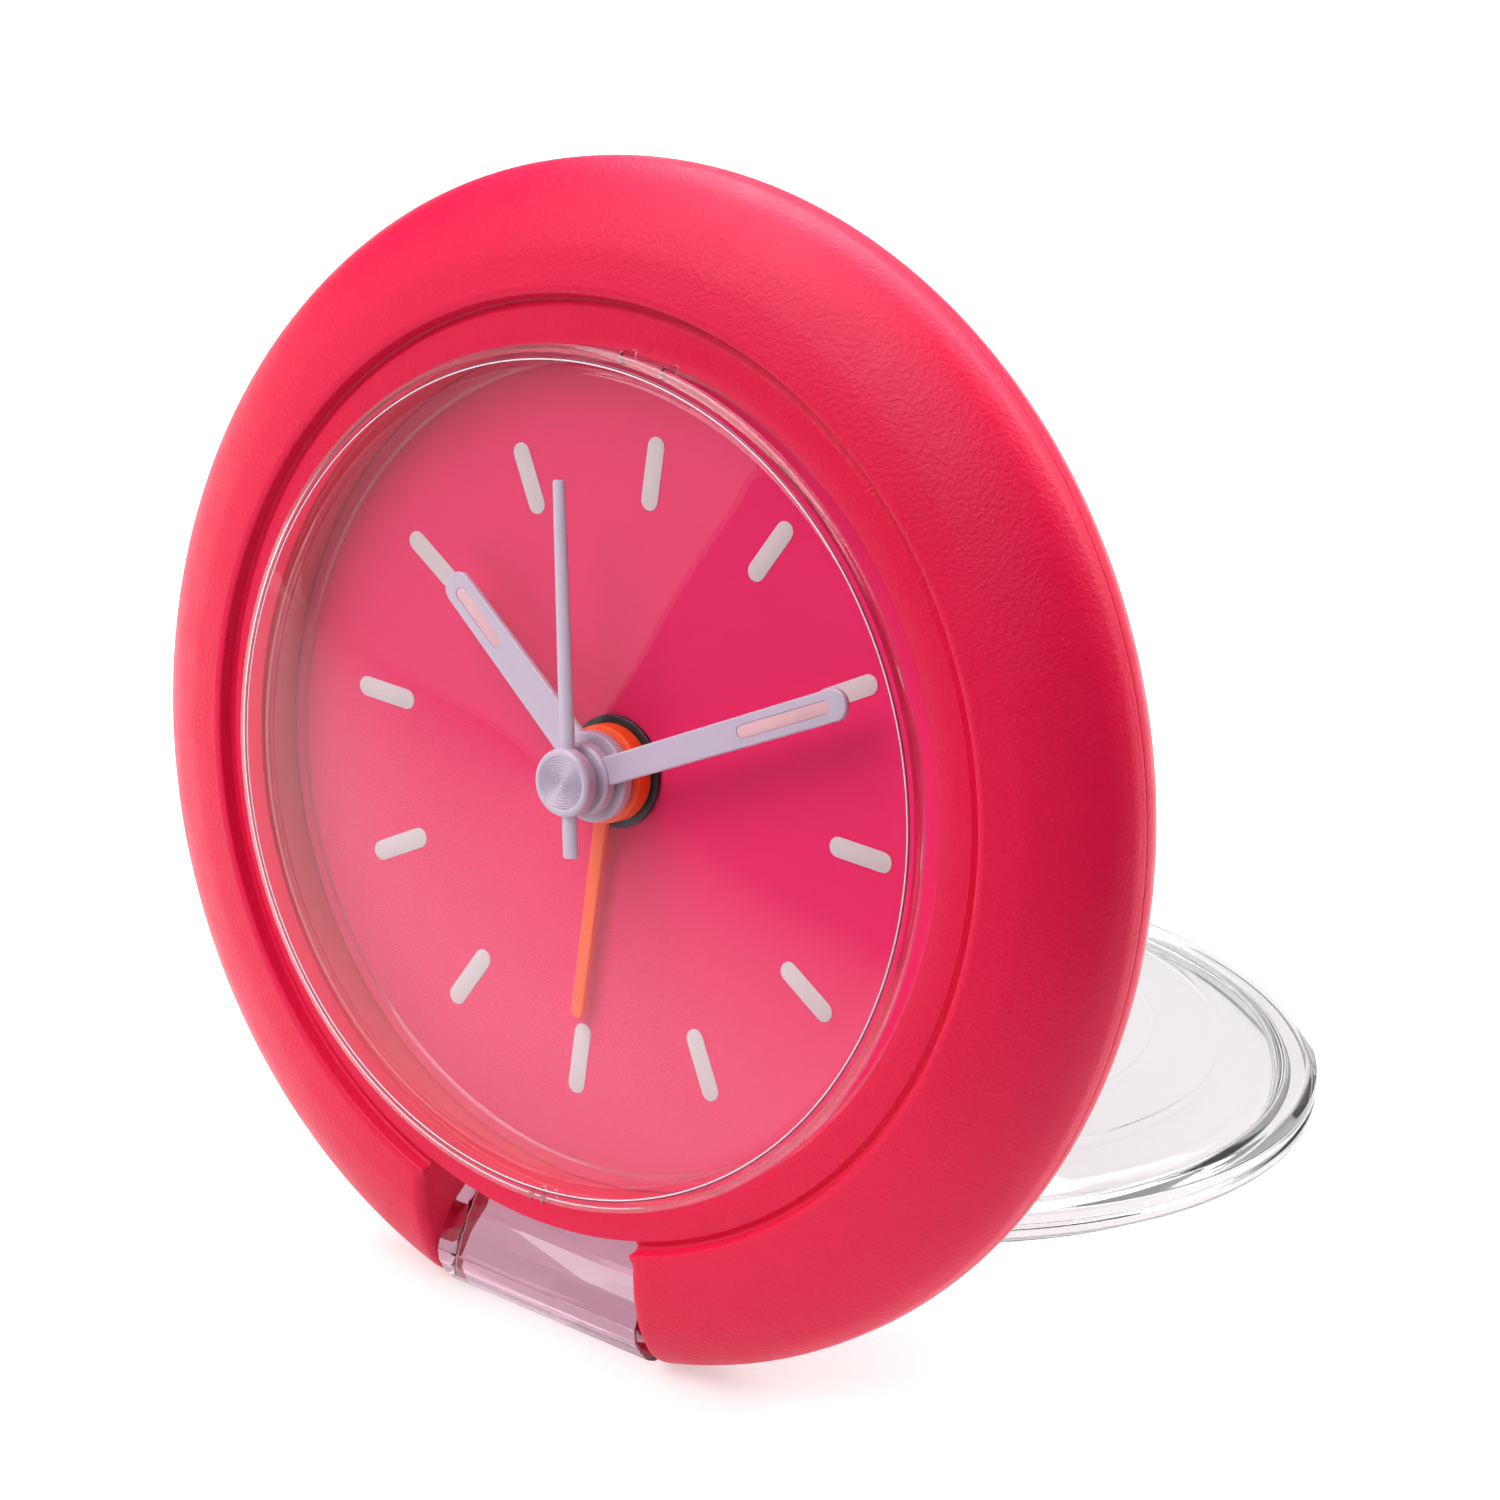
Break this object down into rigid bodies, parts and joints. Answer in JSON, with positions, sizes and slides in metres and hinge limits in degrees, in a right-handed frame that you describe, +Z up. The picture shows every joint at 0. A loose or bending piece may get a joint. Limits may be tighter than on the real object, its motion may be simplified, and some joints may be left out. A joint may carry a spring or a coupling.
{
  "type": "travel alarm clock",
  "caption": "Round pocket alarm clock with a ring case that leans back on its own hinged clear lid, a domed crystal, hands, an alarm hand and setting knobs behind.",
  "frame": {"origin": "on the table, at the bottom centre of the bounding box with the lid open as a stand", "axes": "+X to the right of the dial, +Y to the back, +Z up; the dial leans back 12.8 degrees from upright"},
  "size_m": [0.08, 0.072, 0.0771],
  "materials": {
    "case_pink": "soft-touch matte",
    "dial_pink": "satin",
    "clear_plastic": "clear polished",
    "lilac_plastic": "satin",
    "lume": "matte",
    "orange_plastic": "satin",
    "black_plastic": "satin",
    "white_plastic": "moulded",
    "steel": "plated",
    "brass": "plain",
    "copper": "enamelled wire",
    "board_green": "solder mask"
  },
  "bodies": {
    "case": {"front_ring": "case_pink", "rear_case": "case_pink", "crystal": "clear_plastic", "dial": "dial_pink", "dial_washer": "black_plastic", "movement_front": "white_plastic", "movement_back": "white_plastic", "stator": "steel", "coil_core": "steel", "coil_bobbin": "white_plastic", "coil_winding": "copper", "circuit_board": "board_green", "quartz_can": "steel", "driver_chip": "black_plastic", "piezo_disc": "brass", "battery": "steel", "contact_minus": "brass", "contact_plus": "brass", "alarm_contact": "brass", "case_screw_1": "steel", "case_screw_2": "steel", "case_screw_3": "steel", "case_screw_4": "steel"},
    "lid": {"lid": "clear_plastic"},
    "seconds": {"second_hand": "lilac_plastic", "second_hand_cap": "lilac_plastic", "second_wheel": "white_plastic"},
    "intermediate": {"intermediate_wheel": "white_plastic"},
    "rotor": {"rotor_magnet": "steel", "rotor_pinion": "white_plastic"},
    "third": {"third_wheel": "white_plastic"},
    "centre": {"centre_wheel": "brass"},
    "minutes": {"minute_hand": "lilac_plastic", "minute_hand_lume": "lume", "minute_pinion": "brass"},
    "time_setting": {"motion_wheel": "white_plastic", "time_knob": "black_plastic"},
    "hours": {"hour_hand": "lilac_plastic", "hour_hand_lume": "lume", "hour_wheel": "white_plastic"},
    "alarm": {"alarm_hand": "orange_plastic", "alarm_wheel": "white_plastic"},
    "alarm_setting": {"alarm_pinion": "white_plastic", "alarm_knob": "black_plastic"},
    "alarm_switch": {"alarm_switch": "black_plastic"},
    "battery_door": {"battery_door": "case_pink"}
  },
  "joints": [
    {"name": "lid_hinge", "type": "hinge", "parent": "case", "child": "lid", "pos_m": [0, -0.03119, 0.00385], "axis": [1, 0, 0], "range_deg": [-275.5, 0]},
    {"name": "second_spin", "type": "hinge", "parent": "case", "child": "seconds", "pos_m": [0, -0.02466, 0.03846], "axis": [0, 0.9751, -0.2215], "continuous": true},
    {"name": "intermediate_spin", "type": "hinge", "parent": "case", "child": "intermediate", "pos_m": [0, -0.02561, 0.03425], "axis": [0, 0.9751, -0.2215], "continuous": true},
    {"name": "rotor_spin", "type": "hinge", "parent": "case", "child": "rotor", "pos_m": [0, -0.02645, 0.03057], "axis": [0, 0.9751, -0.2215], "continuous": true},
    {"name": "third_spin", "type": "hinge", "parent": "case", "child": "third", "pos_m": [0, -0.0233, 0.04443], "axis": [0, 0.9751, -0.2215], "continuous": true},
    {"name": "centre_spin", "type": "hinge", "parent": "case", "child": "centre", "pos_m": [0, -0.02466, 0.03846], "axis": [0, 0.9751, -0.2215], "continuous": true},
    {"name": "minute_spin", "type": "hinge", "parent": "case", "child": "minutes", "pos_m": [0, -0.02466, 0.03846], "axis": [0, 0.9751, -0.2215], "continuous": true},
    {"name": "time_knob_spin", "type": "hinge", "parent": "case", "child": "time_setting", "pos_m": [-0.00624, -0.02545, 0.03495], "axis": [0, 0.9751, -0.2215], "continuous": true},
    {"name": "hour_spin", "type": "hinge", "parent": "case", "child": "hours", "pos_m": [0, -0.02466, 0.03846], "axis": [0, 0.9751, -0.2215], "continuous": true},
    {"name": "alarm_spin", "type": "hinge", "parent": "case", "child": "alarm", "pos_m": [0, -0.02466, 0.03846], "axis": [0, 0.9751, -0.2215], "continuous": true},
    {"name": "alarm_knob_spin", "type": "hinge", "parent": "case", "child": "alarm_setting", "pos_m": [0.00748, -0.02561, 0.03425], "axis": [0, 0.9751, -0.2215], "continuous": true},
    {"name": "alarm_switch_slide", "type": "slide", "parent": "case", "child": "alarm_switch", "axis": [1, 0, 0], "range_m": [0, 0.0025]},
    {"name": "battery_door_turn", "type": "hinge", "parent": "case", "child": "battery_door", "pos_m": [-0.007, -0.00469, 0.04377], "axis": [0, 0.9751, -0.2215], "range_deg": [0, 45]}
  ],
  "couplings": [
    {"joint": "intermediate_spin", "follows": "second_spin", "ratio": -5},
    {"joint": "rotor_spin", "follows": "second_spin", "ratio": 30},
    {"joint": "third_spin", "follows": "second_spin", "ratio": -0.13333},
    {"joint": "centre_spin", "follows": "second_spin", "ratio": 0.016667},
    {"joint": "time_knob_spin", "follows": "minute_spin", "ratio": -0.33333},
    {"joint": "hour_spin", "follows": "minute_spin", "ratio": 0.083333},
    {"joint": "alarm_knob_spin", "follows": "alarm_spin", "ratio": -3}
  ]
}
